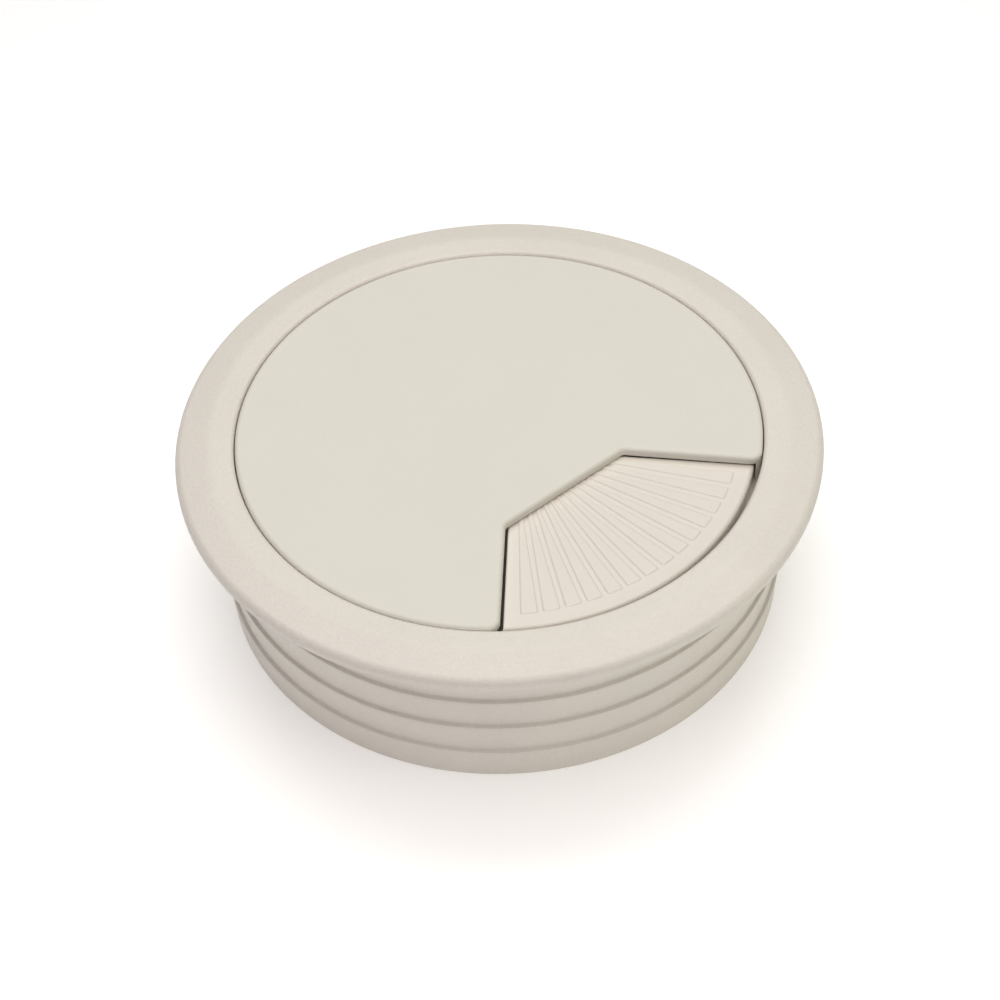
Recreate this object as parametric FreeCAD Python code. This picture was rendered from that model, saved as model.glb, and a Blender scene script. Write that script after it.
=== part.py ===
"""Desk grommet: a barbed sleeve with a trim flange, a drop-in cover with a cable
outlet, and a ribbed shutter that turns under the cover on a central pivot.

Frame: millimetres, +Z up, Z = 0 is the flange's underside, which is the desk's top
surface. The Z axis is the grommet's axis. The cable outlet is centred on -Y.
"""
import FreeCAD, Part
import math
import os

# Flange and recess for the cover
FLANGE_R = 45.00          # outer radius of the flange
TOP_Z = 2.63              # height of the flange's inner band and of the cover
CREASE_R = 40.3           # where the flange's outer band starts to fall away
RIM_Z = 1.62              # height of the outer band's line at FLANGE_R
RECESS_R = 36.75          # wall around the cover
RECESS_ROUND = 0.60       # rounding of that wall's upper edge
SEAT_Z = -1.90            # ledge that carries the cover's skirt
SEAT_R = 34.45            # inner radius of that ledge
SEAT_T = 1.65             # thickness of the ledge at its inner edge

# Barbed tube
HOLE_R = 39.80            # spigot and barb crests, for an 80 mm hole in the desk
BARB_ROOT_R = 39.30
BARB_SLOPE = 0.25         # fall of a barb's upper face from the root to the crest
BARB_ROUND = 0.20
TUBE_BORE_R = 36.80
BARB_FIRST_Z = -3.57      # ledge of the uppermost barb
BARB_PITCH = 5.22
BARB_COUNT = 4
TUBE_END_Z = -24.45
SPIGOT_L = 3.0            # straight band under the flange

# Cover
COVER_R = 36.50
COVER_T = 1.18
SKIRT_R = 35.90           # inner radius of the cover's skirt
EDGE_ROUND = 0.62         # rounding of the cover's upper edges
OUTLET_HALF = 42.35       # half of the angle between the outlet's sides, degrees
OUTLET_OFFSETS = (1.72, 2.21)   # distance from the axis to each side's line: clockwise side, other side
OUTLET_CHORD = 14.45      # distance from the axis to the outlet's straight end
OUTLET_INNER_ROUND = 0.9
OUTLET_OUTER_ROUND = 1.7
STIFFENER_ANGLES = (58, 95, 132, 169, 206)
STIFFENER_T = 1.0
STIFFENER_H = 1.5

# Shutter
FAN_R = 35.65
FAN_HALF = 42.64
FAN_OFFSETS = (1.95, 2.32)
FAN_T = 1.60
FAN_RIM_ROUND = 0.60
FAN_EDGE_ROUND = 0.3
FAN_TOP_Z = 1.22
FAN_REST_TURN = 0.5       # play at the closed stop, degrees
BAR_COUNT = 14
BAR_APEX = 3.45           # distance from the axis to the point that the bars fan out from
BAR_H = 0.15
BAR_HALF = 39.85          # half of the angle that the bars fill
BAR_GAP = 0.76
BAR_OUT_R = 33.20
HUB_R = 9.0
HUB_Z = -3.00             # lower end of the hub

# Pivot: boss on the cover, key and slot that stop the shutter, snap pin
BOSS_R = 4.50
RUN_FIT = 0.06            # radial running clearance of the hub on the boss
KEY_R = 6.40
KEY_HALF = 8.0            # half angle of the key, degrees
SLOT_R = 6.60
SLOT_PLAY = 0.4           # degrees beyond each stop
OPEN_TURN = 92.0          # shutter's travel, degrees
PIN_HEAD_Z = -3.05        # upper face of the pin's head
PIN_HEAD_R = 8.2
PIN_HEAD_T = 1.4
PIN_R = 1.95
PIN_FIT = 0.05
BARB_R = 2.35
GROOVE_R = 2.45
GROOVE_Z = -0.30
GROOVE_TOP_Z = 0.90
PIN_SPLIT = 0.7

Z_AXIS = FreeCAD.Vector(0, 0, 1)
ORIGIN = FreeCAD.Vector(0, 0, 0)
FRONT = -90.0             # the outlet's bisector, turned from +X


def corner_points(points, i):
    """Start, middle and end of the arc that rounds corner i of a closed outline."""
    (x, y, r) = points[i]
    here = FreeCAD.Vector(x, y, 0)
    before = FreeCAD.Vector(*points[i - 1][:2], 0)
    after = FreeCAD.Vector(*points[(i + 1) % len(points)][:2], 0)
    if r <= 0:
        return here, None, here
    u = (before - here).normalize()
    w = (after - here).normalize()
    half = u.getAngle(w) / 2
    cut = r / math.tan(half)
    middle = (u + w).normalize()
    centre = here + middle * (r / math.sin(half))
    return here + u * cut, centre - middle * r, here + w * cut


def rounded_outline(points):
    """Closed wire in the XY plane through (x, y, corner radius) points."""
    corners = [corner_points(points, i) for i in range(len(points))]
    edges = []
    for i, (start, middle, end) in enumerate(corners):
        if middle is not None:
            edges.append(Part.Arc(start, middle, end).toShape())
        following = corners[(i + 1) % len(corners)][0]
        if (following - end).Length > 1e-6:
            edges.append(Part.makeLine(end, following))
    return Part.Wire(edges)


def turned(points):
    """Solid of revolution about Z from (radius, z, corner radius) points."""
    face = Part.Face(rounded_outline(points))
    face.rotate(ORIGIN, FreeCAD.Vector(1, 0, 0), 90)
    return face.revolve(ORIGIN, Z_AXIS, 360)


def prism(points, z0, z1):
    """Extrusion of a rounded outline from z0 to z1."""
    face = Part.Face(rounded_outline(points))
    face.translate(FreeCAD.Vector(0, 0, z0))
    return face.extrude(FreeCAD.Vector(0, 0, z1 - z0))


def disc(radius, z0, z1):
    return Part.makeCylinder(radius, z1 - z0, FreeCAD.Vector(0, 0, z0), Z_AXIS)


def sector(radius, from_deg, to_deg, z0, z1):
    shape = Part.makeCylinder(radius, z1 - z0, FreeCAD.Vector(0, 0, z0), Z_AXIS, to_deg - from_deg)
    shape.rotate(ORIGIN, Z_AXIS, from_deg)
    return shape


def wedge_points(offsets, half, near, far):
    """Corners of a wedge about +X between x = near and far; its sides are at +-half degrees and
    their lines pass the axis at the two offsets, clockwise side first."""
    half = math.radians(half)
    low, high = [lambda x, o=o: x * math.tan(half) - o / math.cos(half) for o in offsets]
    return [(near, -low(near), 0), (far, -low(far), 0), (far, high(far), 0), (near, high(near), 0)]


def vertical_edges(shape, test):
    """Straight edges along Z whose radius from the axis passes the test."""
    found = []
    for edge in shape.Edges:
        a, b = edge.Vertexes[0].Point, edge.Vertexes[-1].Point
        upright = abs(a.x - b.x) < 1e-4 and abs(a.y - b.y) < 1e-4 and abs(a.z - b.z) > 1e-3
        if upright and test(math.hypot(a.x, a.y)):
            found.append(edge)
    return found


def edges_at(shape, z, test=lambda radius: True):
    """Edges that lie in the plane at z; test gets the radius of the edge's middle."""
    found = []
    for edge in shape.Edges:
        box = edge.BoundBox
        if abs(box.ZMin - z) < 1e-4 and abs(box.ZMax - z) < 1e-4:
            p = edge.valueAt((edge.FirstParameter + edge.LastParameter) / 2)
            if test(math.hypot(p.x, p.y)):
                found.append(edge)
    return found


def face_front(shape):
    shape.rotate(ORIGIN, Z_AXIS, FRONT)
    return shape


def make_sleeve():
    points = [
        (RECESS_R, TOP_Z, RECESS_ROUND),
        (RECESS_R, SEAT_Z, 0),
        (SEAT_R, SEAT_Z, 0.20),
        (SEAT_R, SEAT_Z - SEAT_T, 0.30),
        (TUBE_BORE_R, SEAT_Z - SEAT_T - 1.8, 0),
        (TUBE_BORE_R, TUBE_END_Z, 0.40),
        (HOLE_R - 0.35, TUBE_END_Z, 0.35),
    ]
    for k in reversed(range(BARB_COUNT)):
        z = BARB_FIRST_Z - k * BARB_PITCH
        points.append((HOLE_R, z - 0.55, 0))
        points.append((HOLE_R, z, BARB_ROUND))
        points.append((BARB_ROOT_R, z + BARB_SLOPE, BARB_ROUND))
    points += [
        (HOLE_R, -SPIGOT_L, 0),
        (HOLE_R, 0, 0),
        (FLANGE_R, 0, 0.20),
        (FLANGE_R, RIM_Z, 1.25),
        (CREASE_R, TOP_Z, 6.0),
    ]
    return turned(points)


def cover_plan_solid():
    """The cover's outline at full height, with the outlet cut out and corners rounded."""
    body = disc(COVER_R, SEAT_Z, TOP_Z)
    cut = prism(wedge_points(OUTLET_OFFSETS, OUTLET_HALF, OUTLET_CHORD, 50), SEAT_Z - 1, TOP_Z + 1)
    body = body.cut(cut)
    body = body.makeFillet(OUTLET_OUTER_ROUND, vertical_edges(body, at_rim_corner))
    return body.makeFillet(OUTLET_INNER_ROUND, vertical_edges(body, lambda r: r < 25))


def at_rim_corner(radius):
    """True on the rim, where the sides of the outlet meet it."""
    return abs(radius - COVER_R) < 0.01


def make_cover():
    body = cover_plan_solid()
    body = body.makeFillet(EDGE_ROUND, edges_at(body, TOP_Z))
    body = body.makeChamfer(0.25, edges_at(body, SEAT_Z, lambda r: r > COVER_R - 0.1))
    body = body.cut(disc(SKIRT_R, SEAT_Z - 1, TOP_Z - COVER_T))
    under = TOP_Z - COVER_T
    boss = disc(BOSS_R, PIN_HEAD_Z, under)
    key = sector(KEY_R, 180 - KEY_HALF, 180 + KEY_HALF, PIN_HEAD_Z, under)
    body = body.fuse([boss, key] + stiffeners(under))
    bore = disc(PIN_R + PIN_FIT, PIN_HEAD_Z - 1, GROOVE_TOP_Z)
    groove = disc(GROOVE_R, GROOVE_Z, GROOVE_TOP_Z)
    body = body.cut(bore.fuse(groove)).removeSplitter()
    return face_front(body)


def stiffeners(under):
    """Radial ribs under the part of the cover that the shutter never reaches."""
    ribs = []
    for angle in STIFFENER_ANGLES:
        rib = Part.makeBox(SKIRT_R + 0.4 - HUB_R - 0.8, STIFFENER_T, STIFFENER_H,
                           FreeCAD.Vector(HUB_R + 0.8, -STIFFENER_T / 2, under - STIFFENER_H))
        rib.rotate(ORIGIN, Z_AXIS, angle)
        ribs.append(rib)
    return ribs


def make_bars():
    """Raised bars of the fan: wedges about one point, parted by gaps of even width."""
    reach = disc(BAR_OUT_R, FAN_TOP_Z - 0.2, FAN_TOP_Z + BAR_H)
    pitch = 2 * BAR_HALF / BAR_COUNT
    bars = []
    for k in range(BAR_COUNT):
        half = math.radians(pitch / 2)
        tip = BAR_GAP / 2 / math.sin(half)
        wide = (45 - tip) * math.tan(half)
        bar = prism([(tip, 0, 0), (45, -wide, 0), (45, wide, 0)], FAN_TOP_Z - 0.2, FAN_TOP_Z + BAR_H)
        bar.rotate(ORIGIN, Z_AXIS, -BAR_HALF + (k + 0.5) * pitch)
        bar.translate(FreeCAD.Vector(BAR_APEX, 0, 0))
        bars.append(bar.common(reach))
    return bars


def make_fan_plate():
    low = FAN_TOP_Z - FAN_T
    outline = [(0, low, 0), (FAN_R, low, 0), (FAN_R, FAN_TOP_Z, FAN_RIM_ROUND), (0, FAN_TOP_Z, 0)]
    round_plate = turned(outline)
    wedge = prism(wedge_points(FAN_OFFSETS, FAN_HALF, HUB_R - 2, 50), low, FAN_TOP_Z)
    wedge = wedge.makeFillet(FAN_EDGE_ROUND, edges_at(wedge, FAN_TOP_Z, lambda r: 12 < r < 40))
    return round_plate.common(wedge)


def make_shutter():
    hub = disc(HUB_R, HUB_Z, FAN_TOP_Z)
    body = make_fan_plate().fuse([hub] + make_bars())
    bore = disc(BOSS_R + RUN_FIT, HUB_Z - 1, FAN_TOP_Z + 1)
    slot = sector(SLOT_R, 180 - KEY_HALF - SLOT_PLAY - FAN_REST_TURN,
                  180 + KEY_HALF + SLOT_PLAY + OPEN_TURN - FAN_REST_TURN, HUB_Z - 1, FAN_TOP_Z + 1)
    body = body.cut(bore.fuse(slot)).removeSplitter()
    body.rotate(ORIGIN, Z_AXIS, FAN_REST_TURN)
    return face_front(body)


def make_pivot_pin():
    tip_z = GROOVE_TOP_Z - 0.15
    points = [
        (0, PIN_HEAD_Z - PIN_HEAD_T, 0),
        (PIN_HEAD_R, PIN_HEAD_Z - PIN_HEAD_T, 0.6),
        (PIN_HEAD_R, PIN_HEAD_Z, 0.2),
        (PIN_R, PIN_HEAD_Z, 0),
        (PIN_R, GROOVE_Z + 0.05, 0),
        (BARB_R, GROOVE_Z + 0.05, 0),
        (BARB_R - 0.7, tip_z, 0),
        (0, tip_z, 0),
    ]
    pin = turned(points)
    split = Part.makeBox(3 * BARB_R, PIN_SPLIT, 4, FreeCAD.Vector(-1.5 * BARB_R, -PIN_SPLIT / 2, -1.8))
    return pin.cut(split)


def main():
    os.makedirs("parts", exist_ok=True)
    nodes = {
        "sleeve": make_sleeve(),
        "cover": make_cover(),
        "shutter": make_shutter(),
        "pivot_pin": make_pivot_pin(),
    }
    for name, shape in nodes.items():
        solid = shape.Solids[0]
        assert len(shape.Solids) == 1 and solid.isValid(), name
        solid.exportStep("parts/" + name + ".step")
        print(name, round(solid.Volume, 1), "mm3")


main()
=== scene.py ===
import math

import bmesh
import bpy
from mathutils import Matrix, Vector


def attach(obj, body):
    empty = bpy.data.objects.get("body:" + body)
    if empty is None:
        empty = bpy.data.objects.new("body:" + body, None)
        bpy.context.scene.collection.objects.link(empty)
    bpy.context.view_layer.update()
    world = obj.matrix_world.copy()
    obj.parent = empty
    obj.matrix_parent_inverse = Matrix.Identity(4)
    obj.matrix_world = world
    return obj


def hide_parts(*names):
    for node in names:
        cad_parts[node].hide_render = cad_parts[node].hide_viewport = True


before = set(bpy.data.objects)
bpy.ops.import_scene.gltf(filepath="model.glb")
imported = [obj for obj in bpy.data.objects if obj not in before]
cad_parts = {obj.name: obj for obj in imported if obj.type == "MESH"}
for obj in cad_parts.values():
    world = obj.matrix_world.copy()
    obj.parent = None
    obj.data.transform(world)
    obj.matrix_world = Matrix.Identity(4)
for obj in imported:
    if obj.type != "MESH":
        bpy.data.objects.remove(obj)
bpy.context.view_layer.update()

# All shapes below are worked out in millimetres, Z = 0 on the desk's surface, and made in metres.
MM = 0.001

# Flange and recess for the cover
FLANGE_R = 45.00
TOP_Z = 2.63              # height of the flange's inner band and of the cover
CREASE_R = 40.3           # where the flange's outer band starts to fall away
RIM_Z = 1.62              # height of the outer band's line at FLANGE_R
RECESS_R = 36.75          # wall around the cover
RECESS_ROUND = 0.60
SEAT_Z = -1.90            # ledge that carries the cover's skirt
SEAT_R = 34.45
SEAT_T = 1.65

# Barbed tube
HOLE_R = 39.80            # spigot and barb crests
BARB_ROOT_R = 39.30
BARB_SLOPE = 0.25         # fall of a barb's upper face from the root to the crest
BARB_ROUND = 0.20
BARB_CREST_H = 0.55       # height of the straight band below a crest
TUBE_BORE_R = 36.80
BARB_FIRST_Z = -3.57      # ledge of the uppermost barb
BARB_PITCH = 5.22
BARB_COUNT = 4
TUBE_END_Z = -24.45
SPIGOT_L = 3.0            # straight band under the flange

# Cover
COVER_R = 36.60
COVER_T = 1.18
SKIRT_R = 35.90           # inner radius of the cover's skirt
EDGE_ROUND = 0.62         # rounding of the cover's upper edges
OUTLET_HALF = math.radians(42.35)
OUTLET_OFFSETS = (1.72, 2.21)   # distance from the axis to each side's line: clockwise side, other side
OUTLET_CHORD = 14.45      # distance from the axis to the outlet's straight end
INNER_ROUND = 0.9
OUTER_ROUND = 1.7
STIFFENER_ANGLES = (58, 95, 132, 169, 206)
STIFFENER_T = 1.0
STIFFENER_H = 1.5
WELD = 0.1                # how far parts of one moulding run into each other

# Shutter
FAN_R = 35.65
FAN_HALF = math.radians(42.64)
FAN_OFFSETS = (1.95, 2.32)
FAN_T = 1.60
FAN_RIM_ROUND = 0.60      # rounding of the upper edge along the rim
FAN_EDGE_ROUND = 0.3      # and along the sides
FAN_LOW_ROUND = 0.12
FAN_TOP_Z = 1.22
FAN_REST_TURN = 0.5       # play at the closed stop, degrees
BAR_COUNT = 14
BAR_APEX = 3.45           # distance from the axis to the point that the bars fan out from
BAR_H = 0.15
BAR_HALF = math.radians(39.85)
BAR_GAP = 0.76
BAR_OUT_R = 33.20
HUB_R = 9.0
HUB_Z = -3.00

# Pivot: boss on the cover, key and slot that stop the shutter, snap pin
BOSS_R = 4.50
RUN_FIT = 0.06
KEY_R = 6.40
KEY_HALF = 8.0            # half angle of the key, degrees
SLOT_R = 6.60
SLOT_PLAY = 0.4           # degrees beyond each stop
OPEN_TURN = 92.0          # shutter's travel, degrees
PIN_HEAD_Z = -3.05
PIN_HEAD_R = 8.2
PIN_HEAD_T = 1.4
PIN_R = 1.95
PIN_FIT = 0.05
BARB_R = 2.35
BARB_EDGE = 0.08          # height of the barb's straight edge
GROOVE_R = 2.45
GROOVE_Z = -0.30
GROOVE_TOP_Z = 0.90
PIN_SPLIT = 0.7           # width of the slit in the shank
SPLIT_Z = -1.8            # lower end of the slit

# Meshing
TURN_SEGMENTS = 360       # of the sleeve
SMOOTH_ANGLE = 32         # edges flatter than this many degrees are shaded smooth
CHAMFER = 0.15            # at both ends of a hole

FRONT = Matrix.Rotation(math.radians(-90), 4, "Z")


# ---------------------------------------------------------------- outlines

def arc(cx, cy, r, a0, a1, step=0.7):
    """Points on an arc, no further apart than step in mm or 6 degrees."""
    n = max(2, math.ceil(abs(a1 - a0) * r / step), math.ceil(abs(a1 - a0) / math.radians(6)))
    angles = [a0 + (a1 - a0) * i / n for i in range(n + 1)]
    return [(cx + r * math.cos(a), cy + r * math.sin(a)) for a in angles]


def rounded(points):
    """Closed outline through (x, y, corner radius) points, as dense (x, y) points."""
    out = []
    for i, (x, y, r) in enumerate(points):
        here = Vector((x, y))
        if r <= 0:
            out.append((x, y))
            continue
        u = (Vector(points[i - 1][:2]) - here).normalized()
        w = (Vector(points[(i + 1) % len(points)][:2]) - here).normalized()
        half = u.angle(w) / 2
        centre = here + (u + w).normalized() * (r / math.sin(half))
        start = here + u * (r / math.tan(half)) - centre
        end = here + w * (r / math.tan(half)) - centre
        a0 = math.atan2(start.y, start.x)
        turn = (math.atan2(end.y, end.x) - a0 + math.pi) % (2 * math.pi) - math.pi
        n = max(3, math.ceil(abs(turn) / math.radians(11)))
        out += [(centre.x + r * math.cos(a0 + turn * k / n), centre.y + r * math.sin(a0 + turn * k / n))
                for k in range(n + 1)]
    return out


def tidy(points, tolerance=1e-4):
    """The outline without repeated points."""
    out = []
    for p in points:
        if not out or math.dist(p, out[-1]) > tolerance:
            out.append(p)
    if math.dist(out[0], out[-1]) < tolerance:
        out.pop()
    return out


def inset(outline, d):
    """A counter-clockwise outline moved inwards by d, vertex by vertex."""
    n = len(outline)
    out = []
    for i in range(n):
        a, b, c = (Vector(outline[(i + k) % n]) for k in (-1, 0, 1))
        e1, e2 = (b - a).normalized(), (c - b).normalized()
        n1, n2 = Vector((-e1.y, e1.x)), Vector((-e2.y, e2.x))
        m = n1 + n2
        m = m / max(m.length_squared / 2, 0.4)
        out.append((b.x + m.x * d, b.y + m.y * d))
    return out


def side_frame(offset, half):
    """Apex, direction and left-hand normal of a wedge's upper side."""
    apex = Vector((offset / math.sin(half), 0))
    d = Vector((math.cos(half), math.sin(half)))
    return apex, d, Vector((-d.y, d.x))


def rim_fillet(apex, d, n, radius, r):
    """Arc that rounds the corner between a wedge-shaped opening's side and the rim circle, as
    points from the side to the rim."""
    p = apex + n * r
    b, c = p.dot(d), p.length_squared - (radius - r) ** 2
    t = -b + math.sqrt(b * b - c)
    centre = p + d * t
    foot = centre - n * r
    rim = centre.normalized() * radius
    a0 = math.atan2(foot.y - centre.y, foot.x - centre.x)
    a1 = math.atan2(rim.y - centre.y, rim.x - centre.x)
    turn = (a1 - a0 + math.pi) % (2 * math.pi) - math.pi
    return arc(centre.x, centre.y, r, a0, a0 + turn)


def join_halves(half, offsets):
    """Closed outline from half(offset), an upper half that runs from the +X side to the -X side.
    The first offset belongs to the lower, mirrored half."""
    lower = [(x, -y) for x, y in reversed(half(offsets[0]))]
    return tidy(half(offsets[1]) + lower)


def cover_half(offset):
    apex, d, n = side_frame(offset, OUTLET_HALF)
    corner = rim_fillet(apex, d, n, COVER_R, OUTER_ROUND)
    start = math.atan2(corner[-1][1], corner[-1][0])
    # the fillet at the chord's end lies in the outlet, touching the chord and the side
    cx = OUTLET_CHORD + INNER_ROUND
    cy = (-INNER_ROUND - n.x * (cx - apex.x)) / n.y
    a_side = math.atan2(n.y, n.x)
    inner = arc(cx, cy, INNER_ROUND, math.pi, a_side)
    side = line_points(inner[-1], corner[0], 1.2)
    chord = line_points((OUTLET_CHORD, 0), inner[0], 1.2)
    rim = arc(0, 0, COVER_R, start, math.pi, 0.9)
    return chord + inner + side + corner + rim


def line_points(a, b, step):
    """Evenly spaced points from a to b, about step apart."""
    count = max(1, round(math.dist(a, b) / step))
    dx, dy = b[0] - a[0], b[1] - a[1]
    return [(a[0] + dx * i / count, a[1] + dy * i / count) for i in range(count + 1)]


def fan_half(offset, rim, d):
    """Upper half of the fan's outline, with the given rim radius and the rest moved in by d."""
    apex, v, _ = side_frame(offset + d, FAN_HALF)
    corner, meet = [side_meets(apex, v, radius) for radius in (rim, HUB_R - d)]
    return (turned_points(rim, 0, math.atan2(corner.y, corner.x), 30)
            + [tuple(corner.lerp(meet, k / 22)) for k in range(23)]
            + turned_points(HUB_R - d, math.atan2(meet.y, meet.x), math.pi, 48))


def side_meets(start, direction, radius):
    """Where the line from start along direction meets the circle about the axis."""
    b = start.dot(direction)
    return start + direction * (-b + math.sqrt(b * b - start.length_squared + radius ** 2))


def turned_points(radius, a0, a1, count):
    """Points on an arc about the axis, in the given number of steps."""
    angles = [a0 + (a1 - a0) * k / count for k in range(count + 1)]
    return [(radius * math.cos(a), radius * math.sin(a)) for a in angles]


def keyhole_outline(r, key_r, a0, a1):
    """Circle of radius r that steps out to key_r between the angles a0 and a1, in degrees."""
    a0, a1 = math.radians(a0), math.radians(a1)
    return tidy(arc(0, 0, key_r, a0, a1, 0.4) + arc(0, 0, r, a1, a0 + 2 * math.pi, 0.4))


# ---------------------------------------------------------------- meshes

def ring(bm, outline, z):
    return [bm.verts.new((x * MM, y * MM, z * MM)) for x, y in outline]


def bridge(bm, a, b):
    n = len(a)
    for i in range(n):
        bm.faces.new((a[i], a[(i + 1) % n], b[(i + 1) % n], b[i]))


def fill(bm, *loops):
    """Flat faces between an outline and the holes in it."""
    edges = []
    for loop in loops:
        for i in range(len(loop)):
            a, b = loop[i], loop[(i + 1) % len(loop)]
            edges.append(bm.edges.get((a, b)) or bm.edges.new((a, b)))
    bmesh.ops.triangle_fill(bm, use_beauty=True, use_dissolve=False, edges=edges)


def fillet_rings(bm, outline, z_side, z_face, r, steps=7):
    """Rings from the side wall at z_side round to the flat at z_face, a quarter circle of radius r."""
    up = 1 if z_face > z_side else -1
    return [ring(bm, inset(outline, r * (1 - math.cos(t))), z_face - up * r * (1 - math.sin(t)))
            for t in (math.pi / 2 * k / steps for k in range(steps + 1))]


def slab(bm, outline, z0, z1, round_top, round_low, hole=None):
    """Closed plate between z0 and z1 with rounded edges and, if given, a hole."""
    if round_low:
        rings = fillet_rings(bm, outline, z1, z0, round_low)[::-1]
    else:
        rings = [ring(bm, outline, z0)]
    rings += fillet_rings(bm, outline, z0, z1, round_top) if round_top else [ring(bm, outline, z1)]
    close_plate(bm, rings, z0, z1, hole)


def close_plate(bm, rings, z0, z1, hole):
    """Side wall through the rings, the hole's wall, and the flats at both ends."""
    for a, b in zip(rings, rings[1:]):
        bridge(bm, a, b)
    low, top = [rings[0]], [rings[-1]]
    if hole:
        walls = [ring(bm, inset(hole, -CHAMFER), z0), ring(bm, hole, z0 + CHAMFER),
                 ring(bm, hole, z1 - CHAMFER), ring(bm, inset(hole, -CHAMFER), z1)]
        for a, b in zip(walls, walls[1:]):
            bridge(bm, b, a)
        low.append(walls[0])
        top.append(walls[-1])
    fill(bm, *low)
    fill(bm, *top)


def lathe(bm, profile, segments):
    """Revolves a closed (radius, z) profile about Z; points on the axis become one vertex."""
    poles = {i: bm.verts.new((0, 0, z * MM)) for i, (r, z) in enumerate(profile) if r < 1e-6}
    rows = []
    for k in range(segments):
        a = 2 * math.pi * k / segments
        c, s = math.cos(a), math.sin(a)
        rows.append([poles.get(i) or bm.verts.new((r * c * MM, r * s * MM, z * MM))
                     for i, (r, z) in enumerate(profile)])
    for k in range(segments):
        here, there = rows[k], rows[(k + 1) % segments]
        for i in range(len(profile)):
            j = (i + 1) % len(profile)
            quad = []
            for v in (here[i], there[i], there[j], here[j]):
                if v not in quad:
                    quad.append(v)
            if len(quad) > 2:
                bm.faces.new(quad)


def finish_piece(name, bm, material, body, node, turn=None):
    """Makes the object from its mesh, shades it, and says what it rides on and replaces."""
    bmesh.ops.recalc_face_normals(bm, faces=bm.faces)
    if turn is not None:
        bm.transform(turn)
    mesh = bpy.data.meshes.new(name)
    bm.to_mesh(mesh)
    bm.free()
    mesh.polygons.foreach_set("use_smooth", [True] * len(mesh.polygons))
    mesh.set_sharp_from_angle(angle=math.radians(SMOOTH_ANGLE))
    mesh.materials.append(material)
    piece = bpy.data.objects.new(name, mesh)
    bpy.context.scene.collection.objects.link(piece)
    weighted = piece.modifiers.new("even_normals", "WEIGHTED_NORMAL")
    weighted.keep_sharp = True
    weighted.weight = 80
    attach(piece, body)
    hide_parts(node)
    return piece


# ---------------------------------------------------------------- pieces

def sleeve_profile():
    """Cross-section of the sleeve as dense (radius, z) points, from (radius, z, corner radius)."""
    points = [
        (RECESS_R, TOP_Z, RECESS_ROUND),
        (RECESS_R, SEAT_Z, 0.08),
        (SEAT_R, SEAT_Z, 0.20),
        (SEAT_R, SEAT_Z - SEAT_T, 0.30),
        (TUBE_BORE_R, SEAT_Z - SEAT_T - 1.8, 0.3),
        (TUBE_BORE_R, TUBE_END_Z, 0.40),
        (HOLE_R - 0.35, TUBE_END_Z, 0.35),
    ]
    for k in reversed(range(BARB_COUNT)):
        z = BARB_FIRST_Z - k * BARB_PITCH
        points += [
            (HOLE_R, z - BARB_CREST_H, 0.3),
            (HOLE_R, z, BARB_ROUND),
            (BARB_ROOT_R, z + BARB_SLOPE, BARB_ROUND),
        ]
    points += [
        (HOLE_R, -SPIGOT_L, 0.2),
        (HOLE_R, 0, 0.25),
        (FLANGE_R, 0, 0.20),
        (FLANGE_R, RIM_Z, 1.25),
        (CREASE_R, TOP_Z, 6.0),
    ]
    return tidy(rounded(points))


def make_sleeve(material):
    bm = bmesh.new()
    lathe(bm, sleeve_profile(), TURN_SEGMENTS)
    return finish_piece("sleeve_body", bm, material, "sleeve", "sleeve")


def skirt_outline(outline):
    """C-shaped outline of the cover's skirt: the cover's rim outside SKIRT_R."""
    n = len(outline)
    out = [i for i in range(n) if math.hypot(*outline[i]) > SKIRT_R]
    first = next(i for i in out if (i - 1) % n not in out)
    outer = []
    i = first
    while math.hypot(*outline[i % n]) > SKIRT_R:
        outer.append(outline[i % n])
        i += 1
    a0 = math.atan2(outer[0][1], outer[0][0])
    a1 = math.atan2(outer[-1][1], outer[-1][0])
    if a1 < a0:
        a1 += 2 * math.pi
    return outer, arc(0, 0, SKIRT_R, a1, a0, 0.9)


def make_cover(material):
    bm = bmesh.new()
    outline = join_halves(cover_half, OUTLET_OFFSETS)
    under = TOP_Z - COVER_T
    slab(bm, outline, under, TOP_Z, EDGE_ROUND, 0.08)
    outer, inner = skirt_outline(outline)
    slab(bm, tidy(outer + inner), SEAT_Z, under + WELD, 0, 0.15)
    boss = tidy(arc(0, 0, BOSS_R, 0, 2 * math.pi, 0.4))
    bore = tidy(arc(0, 0, PIN_R + PIN_FIT, 0, 2 * math.pi, 0.4))
    wide = tidy(arc(0, 0, GROOVE_R, 0, 2 * math.pi, 0.4))
    slab(bm, boss, PIN_HEAD_Z, GROOVE_Z, 0, 0.1, bore)
    slab(bm, boss, GROOVE_Z, GROOVE_TOP_Z, 0, 0, wide)
    slab(bm, boss, GROOVE_TOP_Z, under + WELD, 0, 0)
    half = math.radians(KEY_HALF)
    key = (arc(0, 0, KEY_R, math.pi - half, math.pi + half, 0.4)
           + arc(0, 0, BOSS_R - 0.3, math.pi + half, math.pi - half, 0.4))
    slab(bm, tidy(key), PIN_HEAD_Z, under + WELD, 0, 0.1)
    for angle in STIFFENER_ANGLES:
        start = len(bm.verts)
        r0, r1, t = HUB_R + 0.8, SKIRT_R + 0.3, STIFFENER_T / 2
        plan = rounded([(r0, -t, 0.2), (r1, -t, 0), (r1, t, 0), (r0, t, 0.2)])
        slab(bm, plan, under - STIFFENER_H, under + WELD, 0, 0.2)
        bm.verts.ensure_lookup_table()
        turn = Matrix.Rotation(math.radians(angle), 3, "Z")
        bmesh.ops.rotate(bm, verts=bm.verts[start:], cent=(0, 0, 0), matrix=turn)
    return finish_piece("cover_lid", bm, material, "cover", "cover", FRONT)


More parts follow.
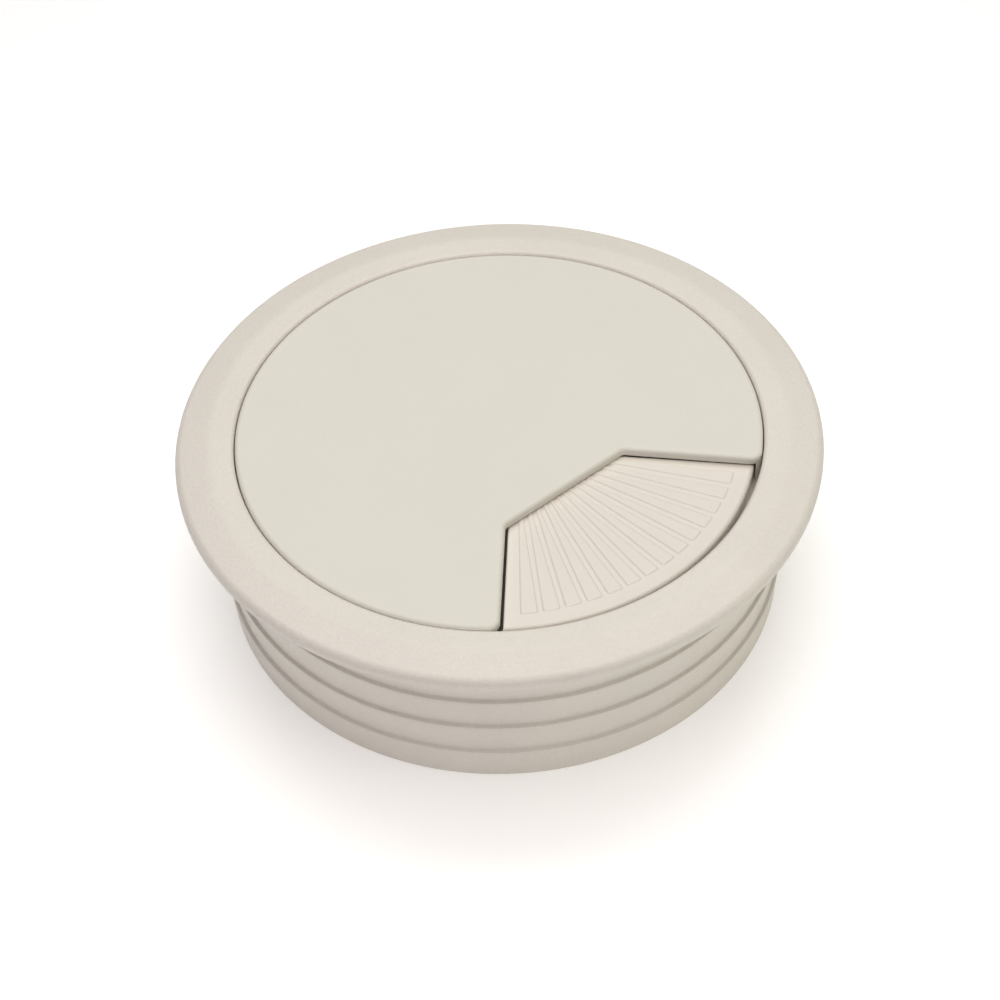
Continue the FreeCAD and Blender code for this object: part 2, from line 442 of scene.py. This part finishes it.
# A bar's outer end: (place across the bar from -1 to 1, how far short of BAR_OUT_R)
BAR_END = [(-1, 0.22), (-0.93, 0.05), (-0.8, 0), (0, 0), (0.8, 0), (0.93, 0.05), (1, 0.22)]


def bar_outline(k, d):
    """Bar k seen from above, its sides and end moved inwards by d: a long thin triangle from its
    tip out to a circle about the axis, with rounded outer corners."""
    half = BAR_HALF / BAR_COUNT
    centre = -BAR_HALF + (2 * k + 1) * half
    tip = (BAR_GAP / 2 + d) / math.sin(half)
    o = Vector((BAR_APEX + tip * math.cos(centre), tip * math.sin(centre)))
    out = [tuple(o)]
    for across, short in BAR_END:
        v = Vector((math.cos(centre + across * half), math.sin(centre + across * half)))
        b = o.dot(v)
        t = -b + math.sqrt(b * b - o.length_squared + (BAR_OUT_R - d - short) ** 2)
        out.append(tuple(o + v * t))
    return out


def add_bar(bm, k):
    """One low raised bar: foot flared into the plate, soft flanks, softly rounded top edge."""
    z0, z1 = FAN_TOP_Z, FAN_TOP_Z + BAR_H
    section = [(-0.16, z0 - 0.03), (-0.08, z0 + 0.01), (-0.02, z0 + 0.04), (0.04, z1 - 0.05),
               (0.09, z1 - 0.02), (0.15, z1 - 0.005), (0.22, z1)]
    rings = [ring(bm, bar_outline(k, d), z) for d, z in section]
    for a, b in zip(rings, rings[1:]):
        bridge(bm, a, b)
    fill(bm, rings[-1])
    fill(bm, rings[0])


def fan_ring(bm, z, rim, d):
    """Outline of the fan at height z."""
    return ring(bm, join_halves(lambda offset: fan_half(offset, rim, d), FAN_OFFSETS), z)


def add_fan_plate(bm, hole, steps=12):
    """Plate whose upper edge is rounded widely along the rim and narrowly along the sides."""
    low = FAN_TOP_Z - FAN_T
    rings = [fan_ring(bm, low, FAN_R - FAN_LOW_ROUND, FAN_LOW_ROUND),
             fan_ring(bm, low + FAN_LOW_ROUND, FAN_R, 0)]
    for k in range(steps + 1):
        t = math.pi / 2 * k / steps
        drop = FAN_RIM_ROUND * (1 - math.sin(t))
        rise = max(0.0, 1 - drop / FAN_EDGE_ROUND)
        d = FAN_EDGE_ROUND * (1 - math.sqrt(1 - rise ** 2))
        rings.append(fan_ring(bm, FAN_TOP_Z - drop, FAN_R - FAN_RIM_ROUND * (1 - math.cos(t)), d))
    close_plate(bm, rings, low, FAN_TOP_Z, hole)


def make_shutter(material):
    bm = bmesh.new()
    slot_from = 180 - KEY_HALF - SLOT_PLAY - FAN_REST_TURN
    slot_to = 180 + KEY_HALF + SLOT_PLAY + OPEN_TURN - FAN_REST_TURN
    bore = keyhole_outline(BOSS_R + RUN_FIT, SLOT_R, slot_from, slot_to)
    add_fan_plate(bm, bore)
    collar = tidy(arc(0, 0, HUB_R, 0, 2 * math.pi, 0.5))
    slab(bm, collar, HUB_Z, FAN_TOP_Z - FAN_T + WELD, 0, 0.25, bore)
    for k in range(BAR_COUNT):
        add_bar(bm, k)
    turn = FRONT @ Matrix.Rotation(math.radians(FAN_REST_TURN), 4, "Z")
    return finish_piece("shutter_fan", bm, material, "shutter", "shutter", turn)


def half_disc(radius, side):
    """Outline of one half of a round shank that is slit along X, as 25 points."""
    start = math.asin(PIN_SPLIT / 2 / radius)
    angles = [start + (math.pi - 2 * start) * k / 24 for k in range(25)]
    return [(radius * math.cos(a) * side, radius * math.sin(a) * side) for a in angles]


def make_pin(material):
    """Snap pin: flat round head and a shank split into two halves with a barb at the tip."""
    bm = bmesh.new()
    low = PIN_HEAD_Z - PIN_HEAD_T
    head = [(0, PIN_HEAD_Z, 0), (0, low, 0), (PIN_HEAD_R, low, 0.6), (PIN_HEAD_R, PIN_HEAD_Z, 0.2)]
    lathe(bm, tidy(rounded(head)), 96)
    root = PIN_HEAD_Z - 0.2
    lathe(bm, [(0, root), (PIN_R, root), (PIN_R, SPLIT_Z), (0, SPLIT_Z)], 48)
    tip = GROOVE_TOP_Z - 0.15
    barb = GROOVE_Z + 0.05
    section = [(PIN_R, SPLIT_Z), (PIN_R, barb), (BARB_R, barb), (BARB_R, barb + BARB_EDGE),
               (BARB_R - 0.7, tip)]
    for side in (1, -1):
        rings = [ring(bm, half_disc(r, side), z) for r, z in section]
        for a, b in zip(rings, rings[1:]):
            bridge(bm, a, b)
        fill(bm, rings[0])
        fill(bm, rings[-1])
    return finish_piece("snap_pin", bm, material, "pivot", "pivot_pin")


# ---------------------------------------------------------------- materials

class Nodes:
    """A little shorthand for building one material's node tree."""

    def __init__(self, name):
        self.material = bpy.data.materials.new(name)
        self.material.use_nodes = True
        self.tree = self.material.node_tree
        self.shader = self.tree.nodes["Principled BSDF"]
        self.coords = self.tree.nodes.new("ShaderNodeTexCoord").outputs["Object"]

    def add(self, kind, links=None, **values):
        """New node. values set its properties, or else its inputs; links join sockets to inputs."""
        node = self.tree.nodes.new("ShaderNode" + kind)
        for key, value in values.items():
            if hasattr(node, key):
                setattr(node, key, value)
            else:
                node.inputs[key.replace("_", " ")].default_value = value
        for key, source in (links or {}).items():
            self.tree.links.new(source, node.inputs[key])
        return node

    def noise(self, scale, detail=2.0, roughness=0.5):
        node = self.add("TexNoise", {"Vector": self.coords},
                        Scale=scale, Detail=detail, Roughness=roughness)
        return node.outputs["Fac"]

    def ramp(self, source, stops):
        """Colour ramp through (position, colour) stops."""
        node = self.add("ValToRGB", {"Fac": source})
        elements = node.color_ramp.elements
        while len(elements) < len(stops):
            elements.new(0.5)
        for element, (position, colour) in zip(elements, stops):
            element.position = position
            element.color = (*colour, 1)
        return node.outputs["Color"]

    def math(self, operation, a, b):
        """Two-input maths node; a and b are numbers or sockets."""
        node = self.tree.nodes.new("ShaderNodeMath")
        node.operation = operation
        for socket, value in zip(node.inputs, (a, b)):
            if isinstance(value, (int, float)):
                socket.default_value = value
            else:
                self.tree.links.new(value, socket)
        return node.outputs[0]


def moulded_plastic(name, colour, rough, grain, scale=3600.0, speckle=0.012, pits=0.0):
    """Opaque moulded plastic: faint mottling and speckle, a spark-eroded grain of the given
    height in mm and noise scale, and if asked a few shallow pits."""
    n = Nodes(name)
    tones = [tuple(c * f for c in colour) for f in (1 - speckle, 1.0, 1 + speckle)]
    coarse, fine = n.noise(scale, 2.0, 0.6), n.noise(scale * 2.5, 1.0)
    spread = n.math("ADD", n.math("MULTIPLY", n.noise(90.0, 3.0), 0.4), n.math("MULTIPLY", coarse, 0.6))
    cloud = n.ramp(spread, [(0.35, tones[0]), (0.5, tones[1]), (0.65, tones[2])])
    n.tree.links.new(cloud, n.shader.inputs["Base Color"])
    rough_map = n.add("MapRange", {"Value": n.noise(1400.0, 2.0)},
                      To_Min=rough - 0.05, To_Max=rough + 0.05)
    n.tree.links.new(rough_map.outputs["Result"], n.shader.inputs["Roughness"])
    n.shader.inputs["IOR"].default_value = 1.5
    n.shader.inputs["Specular IOR Level"].default_value = 0.5
    n.shader.inputs["Subsurface Weight"].default_value = 0.0
    height = n.math("ADD", n.math("MULTIPLY", coarse, 0.7), n.math("MULTIPLY", fine, 0.3))
    if pits:
        cells = n.add("TexVoronoi", {"Vector": n.coords}, Scale=420.0, Randomness=1.0)
        dip = n.add("MapRange", {"Value": cells.outputs["Distance"]},
                    From_Min=0.0, From_Max=0.09, To_Min=-pits, To_Max=0.0)
        height = n.math("ADD", height, dip.outputs["Result"])
    bump = n.add("Bump", {"Height": height}, Strength=1.0, Distance=grain * MM)
    n.tree.links.new(bump.outputs["Normal"], n.shader.inputs["Normal"])
    return n.material


# Floor's glow against distance from the grommet's origin, in metres: next to none inside the tube,
# strongest just outside it, and fading outwards. This glow is painted light: the bright ring next to the
# tube washes out the grommet's shadow on the floor.
GLOW_INSIDE, GLOW_OUTSIDE, GLOW_FAR = 0.015, 0.24, 0.3
GLOW_STARTS, GLOW_FULL = 0.0437, 0.0455
FADE_STARTS, FADE_ENDS = 0.07, 0.18


def floor_material():
    """Pale floor with painted light: it glows a little, next to none inside the tube and most just round
    it, which washes out the grommet's shadow there.
    """
    n = Nodes("pale_floor")
    tone = n.ramp(n.noise(6.0, 2.0), [(0.3, (0.95, 0.95, 0.95)), (0.7, (0.97, 0.97, 0.97))])
    n.tree.links.new(tone, n.shader.inputs["Base Color"])
    n.shader.inputs["Roughness"].default_value = 0.9
    n.shader.inputs["Emission Color"].default_value = (1.0, 0.975, 0.94, 1)
    away = n.add("VectorMath", {"Vector": n.coords}, operation="LENGTH").outputs["Value"]
    outside = n.add("MapRange", {"Value": away}, From_Min=GLOW_STARTS, From_Max=GLOW_FULL,
                    To_Min=GLOW_INSIDE, To_Max=GLOW_OUTSIDE)
    fade = n.add("MapRange", {"Value": away}, From_Min=FADE_STARTS, From_Max=FADE_ENDS,
                 To_Min=1.0, To_Max=GLOW_FAR)
    # painted light: emission strongest in a ring round the tube, where the grommet's shadow falls
    glow = n.math("MULTIPLY", outside.outputs["Result"], fade.outputs["Result"])
    n.tree.links.new(glow, n.shader.inputs["Emission Strength"])
    n.shader.inputs["Specular IOR Level"].default_value = 0.1
    return n.material


# ---------------------------------------------------------------- stage

CAMERA_AZIMUTH = -37.95             # degrees from -Y, towards -X
CAMERA_ELEVATION = 46.39
CAMERA_ROLL = -2.694
CAMERA_DISTANCE = 0.37533
CAMERA_AIM = (0.00020, -0.00880)    # how far the camera is moved right and up in its own plane
LENS, SENSOR = 97.2, 36.0
FLANGE_CENTRE = Vector((0, 0, 0.00102))


def make_camera():
    a, e, roll = (math.radians(v) for v in (CAMERA_AZIMUTH, CAMERA_ELEVATION, CAMERA_ROLL))
    back = Vector((math.sin(a) * math.cos(e), -math.cos(a) * math.cos(e), math.sin(e)))
    right = Vector((math.cos(a), math.sin(a), 0))
    up = back.cross(right)
    right, up = right * math.cos(roll) + up * math.sin(roll), up * math.cos(roll) - right * math.sin(roll)
    data = bpy.data.cameras.new("camera")
    data.lens, data.sensor_width = LENS, SENSOR
    data.clip_start, data.clip_end = 0.01, 20.0
    camera = bpy.data.objects.new("camera", data)
    bpy.context.scene.collection.objects.link(camera)
    place = Matrix((right, up, back)).transposed().to_4x4()
    shift = right * CAMERA_AIM[0] + up * CAMERA_AIM[1]
    place.translation = FLANGE_CENTRE + back * CAMERA_DISTANCE + shift
    camera.matrix_world = place
    bpy.context.scene.camera = camera


def seen_from(azimuth, elevation, distance):
    """Matrix at a place round the object whose -Z looks at the origin. Azimuth 0 is the camera's side."""
    a, e = math.radians(CAMERA_AZIMUTH + azimuth), math.radians(elevation)
    back = Vector((math.sin(a) * math.cos(e), -math.cos(a) * math.cos(e), math.sin(e)))
    place = back.to_track_quat("Z", "Y").to_matrix().to_4x4()
    place.translation = back * distance
    return place


LIGHTS = {
    # name: azimuth, elevation, distance, width, height, watts, colour
    "top": (0, 86, 0.9, 0.9, 0.9, 5.8, (1.0, 0.945, 0.90)),
    "top_back": (180, 60, 0.9, 0.8, 0.5, 3.7, (0.93, 0.97, 1.0)),
    "front_mid": (0, 38, 0.9, 0.8, 0.4, 1.75, (0.93, 0.90, 1.0)),
    "right_low": (75, 15, 0.9, 0.5, 0.4, 0.9, (0.94, 1.0, 0.70)),
    "left_low": (-75, 15, 0.9, 0.5, 0.4, 0.2, (0.90, 0.95, 1.0)),
}
WORLD_STRENGTH = 0.0      # all the light comes from the panels and the floor


def make_lights():
    for name, (azimuth, elevation, distance, width, height, watts, colour) in LIGHTS.items():
        data = bpy.data.lights.new(name, "AREA")
        data.shape, data.size, data.size_y = "RECTANGLE", width, height
        data.energy, data.color = watts, colour
        light = bpy.data.objects.new(name, data)
        bpy.context.scene.collection.objects.link(light)
        light.matrix_world = seen_from(azimuth, elevation, distance)
    world = bpy.data.worlds.new("studio")
    world.use_nodes = True
    world.node_tree.nodes["Background"].inputs["Color"].default_value = (1, 1, 1, 1)
    world.node_tree.nodes["Background"].inputs["Strength"].default_value = WORLD_STRENGTH
    bpy.context.scene.world = world


def make_floor():
    bm = bmesh.new()
    bmesh.ops.create_grid(bm, x_segments=8, y_segments=8, size=3.0)
    bmesh.ops.translate(bm, verts=bm.verts, vec=(0, 0, TUBE_END_Z * MM))
    mesh = bpy.data.meshes.new("floor")
    bm.to_mesh(mesh)
    bm.free()
    mesh.materials.append(floor_material())
    floor = bpy.data.objects.new("floor", mesh)
    bpy.context.scene.collection.objects.link(floor)


def main():
    ivory = (0.737, 0.690, 0.615)
    cover_ivory = (0.725, 0.695, 0.615)
    shutter_ivory = (0.74, 0.69, 0.61)
    sleeve_mat = moulded_plastic("sleeve_ivory", ivory, 0.48, 0.090, scale=2200.0, speckle=0.03)
    cover_mat = moulded_plastic("cover_ivory", cover_ivory, 0.55, 0.016, pits=1.0)
    shutter_mat = moulded_plastic("shutter_ivory", shutter_ivory, 0.42, 0.012)
    pin_mat = moulded_plastic("pin_ivory", ivory, 0.40, 0.010)
    make_sleeve(sleeve_mat)
    make_cover(cover_mat)
    make_shutter(shutter_mat)
    make_pin(pin_mat)
    make_floor()
    make_lights()
    make_camera()
    bpy.context.scene.view_settings.view_transform = "Standard"


main()
